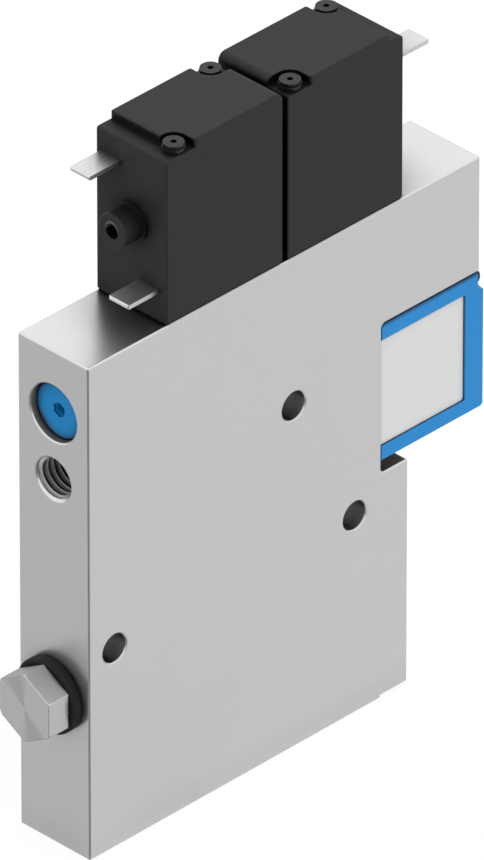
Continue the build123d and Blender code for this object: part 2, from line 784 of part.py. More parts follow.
def make_case(name, level, side, end):
    """Moulded case: side profile with a ledge, screw pockets, a boss, and a cavity for the coil."""
    half = valve_length / 2
    with BuildPart() as case:
        with BuildSketch(side) as profile:
            with BuildLine():
                Polyline(
                    (-half, gasket_thickness),
                    (-half, valve_height - ledge_drop),
                    (-half + ledge_length, valve_height - ledge_drop),
                    (-half + ledge_length, valve_height),
                    (half, valve_height),
                    (half, gasket_thickness),
                    close=True,
                )
            make_face()
            ledge = profile.vertices().filter_by(lambda v: near(v.Y, valve_height - ledge_drop))
            outer, inner = ledge.sort_by(Axis.X)
            fillet(outer, ledge_round)
            fillet(inner, ledge_inner_round)
            fillet(
                profile.vertices().filter_by(lambda v: near(v.Y, valve_height) and v.X > 0),
                plain_end_round,
            )
            fillet(
                profile.vertices().filter_by(lambda v: near(v.Y, valve_height) and v.X < 0),
                top_edge_round,
            )
        extrude(amount=valve_width / 2, both=True)
        flanks = case.faces().sort_by(Axis.Y)
        rims = flanks[0].edges() + flanks[-1].edges()
        fillet(rims.filter_by(lambda e: e.center().Z > case_foot + selector_gap), top_edge_round)
        with BuildSketch(level.offset(valve_height)):
            with Locations(inset_screw, plain_screw):
                Circle(screw_pocket_radius)
            with Locations(inset_screw):
                Rectangle(2 * screw_pocket_radius, valve_width, align=(Align.CENTER, Align.MAX))
            with Locations(plain_screw):
                Rectangle(valve_width, 2 * screw_pocket_radius, align=(Align.MIN, Align.CENTER))
            with Locations((plain_screw[0] - screw_pocket_radius, plain_screw[1])):
                Rectangle(valve_width, valve_width, align=(Align.MIN, Align.MIN))
            with Locations(*pocket_mouths):
                Rectangle(2 * screw_pocket_mouth_round, 2 * screw_pocket_mouth_round)
            with Locations(*mouth_rounds):
                Circle(screw_pocket_mouth_round, mode=Mode.SUBTRACT)
        extrude(amount=-ledge_drop, mode=Mode.SUBTRACT)
        with BuildSketch(level.offset(gasket_thickness)):
            Rectangle(valve_cavity_length, valve_cavity_width)
        extrude(amount=cavity_top - gasket_thickness, mode=Mode.SUBTRACT)
        with BuildSketch(level):
            with Locations(inset_screw, plain_screw):
                Circle(screw_shank_diameter / 2 + seat_gap)
        extrude(amount=valve_height, mode=Mode.SUBTRACT)
        with BuildSketch(end.offset(-half)):
            with Locations((0, boss_height)):
                Circle(boss_diameter / 2)
        extrude(amount=-boss_length)
        boss_rim = case.edges().filter_by(GeomType.CIRCLE)
        boss_rim = boss_rim.filter_by(lambda e: near(e.radius, boss_diameter / 2))
        fillet(
            boss_rim.sort_by(lambda e: -abs((e.center() - level.origin).X))[0],
            top_edge_round,
        )
        with BuildSketch(end.offset(-half)):
            with Locations((0, boss_height)):
                Circle(boss_root_diameter / 2)
        extrude(amount=-boss_root_length)
        with BuildSketch(end.offset(-half - boss_length)):
            with Locations((0, boss_height)):
                Circle(boss_hole_diameter / 2)
        extrude(amount=boss_hole_depth, mode=Mode.SUBTRACT)
        with BuildSketch(end.offset(-half)):
            with Locations(
                (upper_terminal_side, upper_terminal_height),
                (-lower_terminal_side, lower_terminal_height),
            ):
                Rectangle(terminal_width, terminal_thickness)
        extrude(amount=terminal_embed + seat_gap, mode=Mode.SUBTRACT)
    save(case, f"{name}_case")


def make_terminal(name, end, side_place, height):
    """Flat blade with a chamfered tip, moulded into the end wall of the case."""
    half = valve_length / 2
    with BuildPart() as blade:
        with BuildSketch(end.offset(-half + terminal_embed)):
            with Locations((side_place, height)):
                Rectangle(terminal_width, terminal_thickness)
        extrude(amount=-(terminal_embed + terminal_reach))
        tip = blade.faces().sort_by(lambda f: -abs((f.center() - end.origin).X))[0]
        chamfer(tip.edges(), terminal_tip_chamfer)
    save(blade, name)


def make_gasket(name, level):
    """Flat gasket between the valve and the block, with its port and screw holes."""
    with BuildPart() as gasket:
        with BuildSketch(level):
            Rectangle(valve_length - 2 * gasket_margin, valve_width - 2 * gasket_margin)
            Circle(inlet_diameter / 2, mode=Mode.SUBTRACT)
            with Locations(side_port):
                Circle(side_port_diameter / 2, mode=Mode.SUBTRACT)
            with Locations(inset_screw, plain_screw):
                Circle(screw_shank_diameter / 2 + seat_gap, mode=Mode.SUBTRACT)
        extrude(amount=gasket_thickness)
    save(gasket, f"{name}_gasket")


def make_base(name, level):
    """Valve base: the inlet rises to a raised seat, and the chamber around it leads to the side port."""
    with BuildPart() as base:
        with BuildSketch(level.offset(base_bottom)):
            Rectangle(valve_cavity_length - 2 * seat_gap, valve_cavity_width - 2 * seat_gap)
        extrude(amount=base_height)
        with BuildSketch(level.offset(base_top)):
            Circle(chamber_diameter / 2)
            SlotCenterPoint((side_port[0] / 2, side_port[1] / 2), side_port, side_port_diameter)
        extrude(amount=-chamber_depth, mode=Mode.SUBTRACT)
        with BuildSketch(level.offset(chamber_floor)):
            Circle(seat_rim_diameter / 2)
        extrude(amount=seat_rim - chamber_floor)
        with BuildSketch(level.offset(base_bottom)):
            with Locations(side_port):
                Circle(side_port_diameter / 2)
        extrude(amount=base_height, mode=Mode.SUBTRACT)
        with BuildSketch(level.offset(base_bottom)):
            Circle(inlet_diameter / 2)
        extrude(amount=(chamber_floor - base_bottom) / 2, mode=Mode.SUBTRACT)
        with BuildSketch(level.offset(base_bottom)):
            Circle(orifice_diameter / 2)
        extrude(amount=base_height, mode=Mode.SUBTRACT)
    save(base, f"{name}_base")


def make_coil(name, level, side, axis):
    """Bobbin, winding, yoke, pole plate and fixed core of one valve."""
    flange_radius = bobbin_flange_diameter / 2
    hub_radius = bobbin_hub_diameter / 2
    with BuildPart() as bobbin:
        with BuildSketch(side):
            with BuildLine():
                Polyline(
                    (bobbin_bore_radius, bobbin_bottom),
                    (flange_radius, bobbin_bottom),
                    (flange_radius, bobbin_bottom + bobbin_flange_thickness),
                    (hub_radius, bobbin_bottom + bobbin_flange_thickness),
                    (hub_radius, bobbin_top - bobbin_flange_thickness),
                    (flange_radius, bobbin_top - bobbin_flange_thickness),
                    (flange_radius, bobbin_top),
                    (bobbin_bore_radius, bobbin_top),
                    close=True,
                )
            make_face()
        revolve(axis=axis)
    save(bobbin, f"{name}_bobbin")

    with BuildPart() as winding:
        with BuildSketch(level.offset(bobbin_bottom + bobbin_flange_thickness + seat_gap)):
            Circle(winding_diameter / 2)
            Circle(hub_radius + seat_gap, mode=Mode.SUBTRACT)
        extrude(amount=bobbin_length - 2 * (bobbin_flange_thickness + seat_gap))
    save(winding, f"{name}_winding")

    with BuildPart() as yoke:
        with BuildSketch(side) as arch:
            with BuildLine():
                Polyline(
                    (-yoke_half, plate_bottom),
                    (-yoke_half, yoke_top),
                    (yoke_half, yoke_top),
                    (yoke_half, plate_bottom),
                    (yoke_half - yoke_thickness, plate_bottom),
                    (yoke_half - yoke_thickness, yoke_inside_top),
                    (-yoke_half + yoke_thickness, yoke_inside_top),
                    (-yoke_half + yoke_thickness, plate_bottom),
                    close=True,
                )
            make_face()
            fillet(
                arch.vertices().filter_by(lambda v: near(v.Y, yoke_top)),
                yoke_bend_radius,
            )
        extrude(amount=yoke_width / 2, both=True)
        with BuildSketch(level.offset(yoke_inside_top)):
            Circle(core_neck_diameter / 2 + seat_gap)
        extrude(amount=yoke_thickness, mode=Mode.SUBTRACT)
    save(yoke, f"{name}_yoke")

    with BuildPart() as pole_plate:
        with BuildSketch(level.offset(plate_bottom)):
            Rectangle(2 * (yoke_half - yoke_thickness - seat_gap), yoke_width)
            Circle(bobbin_bore_radius, mode=Mode.SUBTRACT)
        extrude(amount=pole_plate_thickness)
    save(pole_plate, f"{name}_pole_plate")

    with BuildPart() as core:
        with BuildSketch(level.offset(core_bottom)):
            Circle(armature_diameter / 2)
        extrude(amount=core_length - seat_gap)
        with BuildSketch(level.offset(yoke_inside_top - seat_gap)):
            Circle(core_neck_diameter / 2)
        extrude(amount=yoke_thickness + seat_gap)
    save(core, f"{name}_core")


def make_armature(name, level):
    """Sliding armature with its rubber seal below and its return spring in a pocket above."""
    seal_radius = armature_seal_diameter / 2
    with BuildPart() as armature:
        with BuildSketch(level.offset(armature_bottom)):
            Circle(armature_diameter / 2)
        extrude(amount=armature_top - armature_bottom)
        with BuildSketch(level.offset(armature_top)):
            Circle(armature_pocket_diameter / 2)
        extrude(amount=-armature_pocket_depth, mode=Mode.SUBTRACT)
        with BuildSketch(level.offset(armature_bottom)):
            Circle(seal_radius + seat_gap / 2)
        extrude(amount=armature_seal_depth, mode=Mode.SUBTRACT)
    save(armature, f"{name}_armature")

    with BuildPart() as armature_seal:
        with BuildSketch(level.offset(seat_rim + seat_gap / 2)):
            Circle(seal_radius)
        extrude(amount=armature_bottom_rise + armature_seal_depth - seat_gap)
    save(armature_seal, f"{name}_armature_seal")

    spring_length = core_bottom - pocket_floor - spring_wire - 2 * seat_gap
    spring_base = Plane(
        origin=level.origin + Vector(0, 0, pocket_floor + spring_wire / 2 + seat_gap),
        x_dir=level.x_dir,
        z_dir=(0, 0, 1),
    )
    with BuildPart() as spring:
        with BuildLine(spring_base) as coil:
            Helix(spring_length / spring_turns, spring_length, (spring_diameter - spring_wire) / 2)
        with BuildSketch(Plane(origin=coil.line @ 0, z_dir=coil.line % 0)):
            RegularPolygon(spring_wire / 2, 6)
        sweep()
    save(spring, f"{name}_spring")


# The two valves: the second is the first turned half round, so their plain ends meet the gap
for valve_name, valve_x, is_turned in [
    ("vacuum_valve", vacuum_valve_x, False),
    ("pulse_valve", pulse_valve_x, True),
]:
    level_plane, side_plane, end_plane = valve_planes(valve_x, is_turned)
    valve_axis = Axis(level_plane.origin, (0, 0, 1))
    make_case(valve_name, level_plane, side_plane, end_plane)
    make_terminal(f"{valve_name}_upper_terminal", end_plane, upper_terminal_side, upper_terminal_height)
    make_terminal(f"{valve_name}_lower_terminal", end_plane, -lower_terminal_side, lower_terminal_height)
    make_gasket(valve_name, level_plane)
    make_base(valve_name, level_plane)
    make_coil(valve_name, level_plane, side_plane, valve_axis)
    make_armature(valve_name, level_plane)
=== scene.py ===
import json
import math

import bmesh
import bpy
from bpy.props import FloatProperty, FloatVectorProperty, PointerProperty
from mathutils import Matrix, Vector


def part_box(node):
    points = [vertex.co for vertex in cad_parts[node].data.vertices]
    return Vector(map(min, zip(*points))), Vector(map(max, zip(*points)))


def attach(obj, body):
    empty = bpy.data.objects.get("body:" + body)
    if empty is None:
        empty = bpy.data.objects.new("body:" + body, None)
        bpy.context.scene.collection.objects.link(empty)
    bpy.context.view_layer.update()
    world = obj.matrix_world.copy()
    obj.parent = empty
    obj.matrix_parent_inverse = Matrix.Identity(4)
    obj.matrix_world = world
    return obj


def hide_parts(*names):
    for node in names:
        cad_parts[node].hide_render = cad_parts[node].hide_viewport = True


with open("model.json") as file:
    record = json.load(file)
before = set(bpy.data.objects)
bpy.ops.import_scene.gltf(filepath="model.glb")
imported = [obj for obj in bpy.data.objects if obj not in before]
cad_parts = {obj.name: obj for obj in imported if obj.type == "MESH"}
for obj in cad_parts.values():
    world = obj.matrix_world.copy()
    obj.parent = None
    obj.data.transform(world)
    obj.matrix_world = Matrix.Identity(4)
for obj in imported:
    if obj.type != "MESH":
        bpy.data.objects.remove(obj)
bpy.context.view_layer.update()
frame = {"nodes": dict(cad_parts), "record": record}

bl_info = {
    "name": "Vacuum ejector",
    "version": (1, 0, 0),
    "blender": (4, 5, 0),
    "location": "View3D > Sidebar > Ejector",
    "description": "Finishes, port threads and studio of a slim block-type vacuum ejector",
    "category": "Object",
}

MM = 0.001
ROOT = "root"
BLACK = (0.0, 0.0, 0.0, 1.0)
WHITE = (1.0, 1.0, 1.0, 1.0)


# What a user would change


def length(label, text, default):
    """A property that holds a length in metres."""
    return FloatProperty(
        name=label, description=text, default=default, min=0.0, precision=5, unit="LENGTH",
        subtype="DISTANCE",
    )


def colour(label, text, default):
    """A property that holds a linear colour."""
    return FloatVectorProperty(
        name=label, description=text, default=default, min=0.0, max=1.0, size=3, subtype="COLOR"
    )


class EjectorSizes(bpy.types.PropertyGroup):
    """Sizes of the detail that is added to the frame."""

    thread_diameter: length("Port thread", "Outer diameter of the thread in both ports", 5.0 * MM)
    thread_pitch: length("Thread pitch", "Distance from one turn of the port thread to the next", 0.8 * MM)
    thread_reach: length("Thread reach", "Depth to which the ports are threaded", 5.6 * MM)
    edge_round: length("Edge round", "Width over which edges catch the light", 0.07 * MM)


class EjectorFinishes(bpy.types.PropertyGroup):
    """Colours of the visible finishes."""

    aluminium: colour("Block", "Clear anodised aluminium of the block", (0.80, 0.80, 0.795))
    nickel: colour("Plug", "Nickel plating of the screw plug", (0.70, 0.70, 0.695))
    tin: colour("Terminals", "Tin plating of the terminals", (0.78, 0.78, 0.775))
    blue_clip: colour("Filter frame", "Blue plastic of the filter frame", (0.014, 0.28, 0.70))
    blue_screw: colour("Throttle screw", "Blue face of the throttle screw", (0.005, 0.25, 0.61))
    window: colour("Filter bowl", "Milky plastic of the filter bowl", (0.82, 0.82, 0.82))
    valve: colour("Valve cases", "Black plastic of the valve cases", (0.022, 0.022, 0.022))
    rubber: colour("Seals", "Black rubber of the seals", (0.014, 0.014, 0.014))


class EjectorStudio(bpy.types.PropertyGroup):
    """Floor, light and camera."""

    floor_colour: colour("Floor", "Colour of the pale floor", (0.68, 0.68, 0.68))
    floor_shown: FloatProperty(
        name="Floor shown", description="Share of the floor's own shading that the eye sees", default=0.3,
        min=0.0, max=1.0,
    )
    floor_right: FloatProperty(
        name="Floor on the right", description="How bright the floor on the right looks in polished metal",
        default=0.715, min=0.0,
    )
    floor_left: FloatProperty(
        name="Floor on the left", description="How bright the floor on the left looks in polished metal",
        default=0.545, min=0.0,
    )
    floor_near: FloatProperty(
        name="Floor towards the eye", description="How bright the floor in front looks in polished metal",
        default=0.14, min=0.0,
    )
    sky_strength: FloatProperty(
        name="Sky", description="Strength of the soft light from all round", default=1.0, min=0.0
    )
    side_power: FloatProperty(
        name="Side lamp", description="Power of the soft lamp on the right", default=1.2, min=0.0,
        unit="POWER",
    )
    camera_turn: FloatProperty(
        name="Camera turn", description="Turn of the camera round the block",
        default=math.radians(-45.352), unit="ROTATION", subtype="ANGLE",
    )
    camera_rise: FloatProperty(
        name="Camera rise", description="Angle of the camera above the floor",
        default=math.radians(32.864), unit="ROTATION", subtype="ANGLE",
    )
    camera_distance: length("Camera distance", "From the camera to the block", 2.3358)
    camera_lens: FloatProperty(
        name="Lens", description="Focal length of the camera, in millimetres", default=960.0, min=1.0
    )


# Colours and node trees


def rgba(tint, gain=1.0, lift=0.0):
    """A colour with its alpha, made darker or brighter."""
    return (*(min(1.0, c * gain + lift) for c in tint), 1.0)


def grey(level):
    """An even grey, which may be brighter than white."""
    return (level, level, level, 1.0)


class Tree:
    """A node tree that is being filled, with short ways to add and join its nodes."""

    def __init__(self, tree):
        self.nodes = tree.nodes
        self.links = tree.links

    def feed(self, socket, value):
        """Join a socket to another one, or give it a plain value."""
        if isinstance(value, bpy.types.NodeSocket):
            self.links.new(value, socket)
        else:
            socket.default_value = value

    def add(self, kind, inputs=None, **settings):
        """Add a node with its settings and inputs."""
        node = self.nodes.new(kind)
        for key, value in settings.items():
            setattr(node, key, value)
        for key, value in (inputs or {}).items():
            self.feed(node.inputs[key], value)
        return node

    def place(self):
        """Object coordinates of a point."""
        return self.add("ShaderNodeTexCoord").outputs["Object"]

    def normal(self):
        """Way that a surface faces."""
        return self.add("ShaderNodeNewGeometry").outputs["Normal"]

    def parts(self, vector):
        """The X, Y and Z outputs of a vector."""
        return self.add("ShaderNodeSeparateXYZ", {0: vector}).outputs

    def math(self, operation, *values, clamp=False):
        """Result of a Math node."""
        inputs = dict(enumerate(values))
        return self.add("ShaderNodeMath", inputs, operation=operation, use_clamp=clamp).outputs[0]

    def vector(self, operation, *values):
        """Vector that a Vector Math node gives."""
        node = self.add("ShaderNodeVectorMath", dict(enumerate(values)), operation=operation)
        return node.outputs["Vector"]

    def measure(self, operation, *values):
        """Value that a Vector Math node gives, such as a length or a dot product."""
        node = self.add("ShaderNodeVectorMath", dict(enumerate(values)), operation=operation)
        return node.outputs["Value"]

    def scaled(self, vector, factor):
        """A vector made longer or shorter."""
        node = self.add("ShaderNodeVectorMath", {0: vector, "Scale": factor}, operation="SCALE")
        return node.outputs["Vector"]

    def span(self, value, first, last, low=0.0, high=1.0, shape="LINEAR"):
        """A value that goes from low to high while another one goes from first to last."""
        inputs = {"Value": value, "From Min": first, "From Max": last, "To Min": low, "To Max": high}
        return self.add("ShaderNodeMapRange", inputs, interpolation_type=shape).outputs["Result"]

    def level(self, value):
        """A grey colour of a value."""
        return self.add("ShaderNodeCombineColor", {0: value, 1: value, 2: value}).outputs[0]

    def mix(self, factor, first, second, blend="MIX"):
        """Result of a colour Mix node."""
        node = self.add("ShaderNodeMix", data_type="RGBA", blend_type=blend)
        self.feed(node.inputs[0], factor)
        self.feed(node.inputs[6], first)
        self.feed(node.inputs[7], second)
        return node.outputs[2]

    def mix_shaders(self, factor, first, second):
        """Result of a Mix Shader node."""
        return self.add("ShaderNodeMixShader", {0: factor, 1: first, 2: second}).outputs[0]

    def group(self, name, **inputs):
        """Place a shared shader group with its own values. In a key, _ stands for a space."""
        node = self.nodes.new("ShaderNodeGroup")
        node.node_tree = bpy.data.node_groups[name]
        for key, value in inputs.items():
            self.feed(node.inputs[key.replace("_", " ")], value)
        return node

    def near(self, centre, radius):
        """Mask of what lies near an axis along X."""
        return self.group("near_axis", Centre=centre, Radius=radius).outputs["Mask"]


class Finish(Tree):
    """The emptied material of a slot of the record, with its shader."""

    def __init__(self, slot):
        material = bpy.data.materials.get(slot) or bpy.data.materials.new(slot)
        material.use_nodes = True
        material.node_tree.nodes.clear()
        super().__init__(material.node_tree)
        shader = self.add("ShaderNodeBsdfPrincipled")
        self.shader = shader.inputs
        self.contact = None
        self.reflected = None
        self.feed(self.add("ShaderNodeOutputMaterial").inputs["Surface"], shader.outputs["BSDF"])

    def lay_over(self, factor, tint, blend="MIX"):
        """Mix a colour over the one that the shader has."""
        base = self.shader["Base Color"]
        self.feed(base, self.mix(factor, base.links[0].from_socket, tint, blend))


def new_group(name, inputs, outputs):
    """Start a shader group with named sockets. Returns the tree, its input node and its output node."""
    group = bpy.data.node_groups.new(name, "ShaderNodeTree")
    for label, kind, default in inputs:
        socket = group.interface.new_socket(name=label, in_out="INPUT", socket_type=f"NodeSocket{kind}")
        socket.default_value = default
    for label, kind in outputs:
        group.interface.new_socket(name=label, in_out="OUTPUT", socket_type=f"NodeSocket{kind}")
    tree = Tree(group)
    return tree, tree.add("NodeGroupInput").outputs, tree.add("NodeGroupOutput").inputs


# Shader groups


def build_grain_group():
    """Fine grain of a blasted, moulded or sintered surface, and the slow drift of tone under it."""
    tree, given, result = new_group(
        "surface_grain",
        [
            ("Size", "Float", 0.1 * MM),
            ("Drift Size", "Float", 10 * MM),
            ("Squeeze", "Vector", (1.0, 1.0, 1.0)),
        ],
        [("Grain", "Float"), ("Drift", "Float")],
    )
    place = tree.place()
    grain = tree.add(
        "ShaderNodeTexNoise",
        {
            "Vector": tree.vector("MULTIPLY", place, given["Squeeze"]),
            "Scale": tree.math("DIVIDE", 1.0, given["Size"]), "Detail": 2.0, "Roughness": 0.6,
        },
    )
    drift = tree.add(
        "ShaderNodeTexNoise",
        {"Vector": place, "Scale": tree.math("DIVIDE", 1.0, given["Drift Size"]), "Detail": 3.0},
    )
    tree.feed(result["Grain"], grain.outputs["Fac"])
    tree.feed(result["Drift"], drift.outputs["Fac"])


def build_contact_group():
    """How open a spot is: darker in wide hollows, and darker still in seams and beside other pieces.

    The shade fades out at the foot, where the floor would darken it.
    """
    tree, given, result = new_group(
        "contact_shade",
        [
            ("Reach", "Float", 3 * MM),
            ("Dark", "Float", 0.4),
            ("Closed", "Float", 0.35),
            ("Near Reach", "Float", 0.9 * MM),
            ("Near Dark", "Float", 0.3),
            ("Foot", "Float", 7 * MM),
        ],
        [("Shade", "Float")],
    )
    wide_open = 0.94
    shades = []
    for reach, dark in (("Reach", "Dark"), ("Near Reach", "Near Dark")):
        around = tree.add("ShaderNodeAmbientOcclusion", {"Distance": given[reach]}, samples=12)
        shades.append(tree.span(around.outputs["AO"], given["Closed"], wide_open, given[dark], 1.0))
    both = tree.math("MULTIPLY", *shades)
    height = tree.math("DIVIDE", tree.parts(tree.place())["Z"], given["Foot"])
    foot = tree.math("SUBTRACT", 1.0, height, clamp=True)
    lifted = tree.math("MULTIPLY", foot, tree.math("SUBTRACT", 1.0, both))
    tree.feed(result["Shade"], tree.math("ADD", both, lifted))


def build_axis_group():
    """A mask of what lies near an axis along X."""
    tree, given, result = new_group(
        "near_axis",
        [("Centre", "Vector", (0.0, 0.0, 0.0)), ("Radius", "Float", 1 * MM)],
        [("Mask", "Float")],
    )
    off = tree.vector("MULTIPLY", tree.vector("SUBTRACT", tree.place(), given["Centre"]), (0, 1, 1))
    tree.feed(result["Mask"], tree.math("LESS_THAN", tree.measure("LENGTH", off), given["Radius"]))


def build_edge_group():
    """Softly rounded edges: the normal across them, and a mask of where they are."""
    tree, given, result = new_group(
        "soft_edges", [("Radius", "Float", 0.07 * MM)], [("Edge", "Float"), ("Normal", "Vector")]
    )
    rounded = tree.add("ShaderNodeBevel", {"Radius": given["Radius"]}, samples=6).outputs["Normal"]
    spread = tree.math("SUBTRACT", 1.0, tree.measure("DOT_PRODUCT", rounded, tree.normal()))
    tree.feed(result["Edge"], tree.math("MULTIPLY", spread, 6.0, clamp=True))
    tree.feed(result["Normal"], rounded)


def build_turned_group():
    """Fine rings left by a cutter round an axis: their normal and their uneven tone.

    Also how square a face is to the axis, how much it faces up, and the mask of a painted dark fan, a
    painted reflection across the rings.
    """
    tree, given, result = new_group(
        "turned_rings",
        [
            ("Centre", "Vector", (0.0, 0.0, 0.0)),
            ("Axis", "Vector", (1.0, 0.0, 0.0)),
            ("Pitch", "Float", 0.03 * MM),
            ("Tilt", "Float", 0.2),
            ("Fan Way", "Vector", (0.0, 0.42, 0.907)),
            ("Normal", "Vector", (0.0, 0.0, 1.0)),
        ],
        [
            ("Normal", "Vector"),
            ("Rings", "Float"),
            ("Facing", "Float"),
            ("Fan", "Float"),
            ("Upward", "Float"),
        ],
    )
    from_centre = tree.vector("SUBTRACT", tree.place(), given["Centre"])
    along = tree.measure("DOT_PRODUCT", from_centre, given["Axis"])
    radial = tree.vector("SUBTRACT", from_centre, tree.scaled(given["Axis"], along))
    outward = tree.vector("NORMALIZE", radial)
    steps = tree.math("DIVIDE", tree.measure("LENGTH", radial), given["Pitch"])
    uneven = tree.add(
        "ShaderNodeTexNoise", {"W": steps, "Scale": 0.11, "Detail": 3.0}, noise_dimensions="1D"
    )
    fine = tree.add("ShaderNodeTexWhiteNoise", {"W": steps}, noise_dimensions="1D").outputs["Value"]
    lean = tree.math("MULTIPLY", tree.math("SUBTRACT", fine, 0.5), given["Tilt"])
    tilted = tree.vector("ADD", given["Normal"], tree.scaled(outward, lean))
    tree.feed(result["Normal"], tree.vector("NORMALIZE", tilted))
    tree.feed(result["Rings"], uneven.outputs["Fac"])
    normal = tree.normal()
    tree.feed(result["Upward"], tree.math("MAXIMUM", tree.parts(normal)["Z"], 0.0))
    tree.feed(result["Facing"], tree.math("ABSOLUTE", tree.measure("DOT_PRODUCT", normal, given["Axis"])))
    # Mask of the painted dark fan, a painted reflection across the rings
    along_fan = tree.math("ABSOLUTE", tree.measure("DOT_PRODUCT", outward, given["Fan Way"]))
    wander = tree.add(
        "ShaderNodeTexNoise", {"W": steps, "Scale": 0.05, "Detail": 2.0}, noise_dimensions="1D"
    )
    swing = tree.math("SUBTRACT", wander.outputs["Fac"], 0.5)
    swung = tree.math("MULTIPLY_ADD", swing, 0.06, along_fan)
    tree.feed(result["Fan"], tree.span(swung, 0.8, 1.04, shape="SMOOTHERSTEP"))


# Materials


def grained(
    slot, tint, metal=0.0, rough=0.5, size=0.12 * MM, height=0.004 * MM, tone=0.06, drift=0.04,
    edge=0.1, edge_radius=None, rough_swing=0.08, specular=0.5, subsurface=0.0, shade=None, mirrored=None,
    edge_tone=None, squeeze=(1.0, 1.0, 1.0),
):
    """A finish with a fine grain, a slow drift of tone and edges that catch the light.

    shade holds the values of contact_shade, and mirrored is the grey that polished metal shows of it.
    """
    finish = Finish(slot)
    marks = finish.group("surface_grain", Size=size, Drift_Size=9 * MM, Squeeze=squeeze).outputs
    edges = finish.group(
        "soft_edges", Radius=edge_radius or bpy.context.scene.ejector_sizes.edge_round
    ).outputs
    spread = finish.span(marks["Grain"], 0.25, 0.75)
    toned = finish.mix(spread, rgba(tint, 1 - tone), rgba(tint, 1 + tone))
    slow = finish.math("MULTIPLY_ADD", marks["Drift"], 2 * drift, 1.0 - drift)
    drifted = finish.mix(1.0, toned, finish.level(slow), "MULTIPLY")
    # Painted light and shade on the edges: brighter by default, darker where edge_tone is below one
    painted_edge_shading = finish.math("MULTIPLY", edges["Edge"], edge * 3, clamp=True)
    surface = finish.mix(painted_edge_shading, drifted, rgba(tint, edge_tone or 1 + edge * 4, edge * 0.02))
    if shade:
        contact = finish.group("contact_shade", **shade)
        finish.contact = contact.inputs
        shaded = finish.mix(contact.outputs["Shade"], BLACK, surface)
        in_metal = finish.add("ShaderNodeLightPath").outputs["Is Glossy Ray"]
        surface = finish.mix(in_metal, shaded, grey(mirrored) if mirrored else rgba(tint))
        finish.reflected = surface.node.inputs[7]
    finish.feed(finish.shader["Base Color"], surface)
    roughness = finish.math("MULTIPLY_ADD", marks["Grain"], rough_swing, rough - rough_swing / 2)
    finish.feed(finish.shader["Roughness"], roughness)
    bump = finish.add(
        "ShaderNodeBump",
        {"Strength": 1.0, "Distance": height, "Height": marks["Grain"], "Normal": edges["Normal"]},
    )
    finish.feed(finish.shader["Normal"], bump.outputs["Normal"])
    finish.shader["Metallic"].default_value = metal
    finish.shader["Specular IOR Level"].default_value = specular
    if subsurface:
        finish.shader["Subsurface Weight"].default_value = subsurface
        finish.shader["Subsurface Radius"].default_value = (1.0, 1.0, 1.0)
        finish.shader["Subsurface Scale"].default_value = 0.8 * MM
    return finish


def turned(slot, tint, centre, axis, rough, pitch=0.02 * MM, tilt=0.5):
    """Bright metal that shows the rings of a lathe on faces square to its axis.

    Its edges have painted light where they face up and to the right and painted shade elsewhere, its
    upward facets painted shade, and its end face a painted dark fan.
    """
    finish = Finish(slot)
    edges = finish.group("soft_edges", Radius=0.15 * MM).outputs
    rings = finish.group(
        "turned_rings", Centre=centre, Axis=axis, Pitch=pitch, Tilt=tilt, Normal=edges["Normal"]
    ).outputs
    grain = finish.group("surface_grain", Size=0.15 * MM, Drift_Size=4 * MM).outputs["Grain"]
    face = finish.math("GREATER_THAN", rings["Facing"], 0.97)
    tone = finish.mix(rings["Rings"], rgba(tint, 0.88), rgba(tint, 1.1))
    # Painted reflection: a dark fan across the rings of the end face
    painted_fan = finish.mix(rings["Fan"], grey(1.07), grey(0.84))
    plain = finish.mix(grain, rgba(tint, 0.96), rgba(tint, 1.04))
    # Painted shade: facets that face up are painted up to a third darker
    facets_with_painted_shade = finish.mix(finish.math("MULTIPLY", rings["Upward"], 0.34), plain, BLACK)
    surface = finish.mix(face, facets_with_painted_shade, finish.mix(1.0, tone, painted_fan, "MULTIPLY"))
    to_light = finish.measure("DOT_PRODUCT", edges["Normal"], (0.0, -0.5, 0.866))
    lit = finish.span(to_light, 0.45, 0.62, shape="SMOOTHSTEP")
    edge_tint = finish.mix(lit, rgba(tint, 0.4), rgba(tint, 1.4))
    # Painted light on edges that face up and to the right, painted shade on the others
    painted_edge_shading = finish.mix(finish.math("MULTIPLY", edges["Edge"], 0.9), surface, edge_tint)
    contact = finish.group("contact_shade", Reach=8 * MM, Dark=0.4, Closed=0.45, Near_Dark=0.6)
    finish.feed(finish.shader["Base Color"], finish.mix(contact.outputs["Shade"], BLACK, painted_edge_shading))
    normal = finish.add("ShaderNodeMix", data_type="VECTOR")
    finish.feed(normal.inputs[0], face)
    finish.feed(normal.inputs[4], edges["Normal"])
    finish.feed(normal.inputs[5], rings["Normal"])
    finish.feed(finish.shader["Normal"], normal.outputs[1])
    finish.feed(finish.shader["Roughness"], finish.math("MULTIPLY_ADD", grain, 0.1, rough - 0.05))
    finish.shader["Metallic"].default_value = 1.0


def paint(*slots):
    """Put the material of each slot on the CAD nodes that take their finish from it."""
    for row in frame["record"]["subparts"]:
        slot = row["material_slot"]
        if slot not in slots:
            continue
        node = frame["nodes"][row["node"]]
        if not node.material_slots:
            raise RuntimeError(f"{row['node']} has no material slot")
        for place in node.material_slots:
            place.material = bpy.data.materials[slot]


def middle(node):
    """Middle of a CAD node's box."""
    lo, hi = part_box(node)
    return (lo + hi) / 2


def mount_place(name):
    """Place of a mount of the record."""
    return next(m for m in frame["record"]["mounts"] if m["name"] == name)["pos_m"]


# Threads cut in the ports


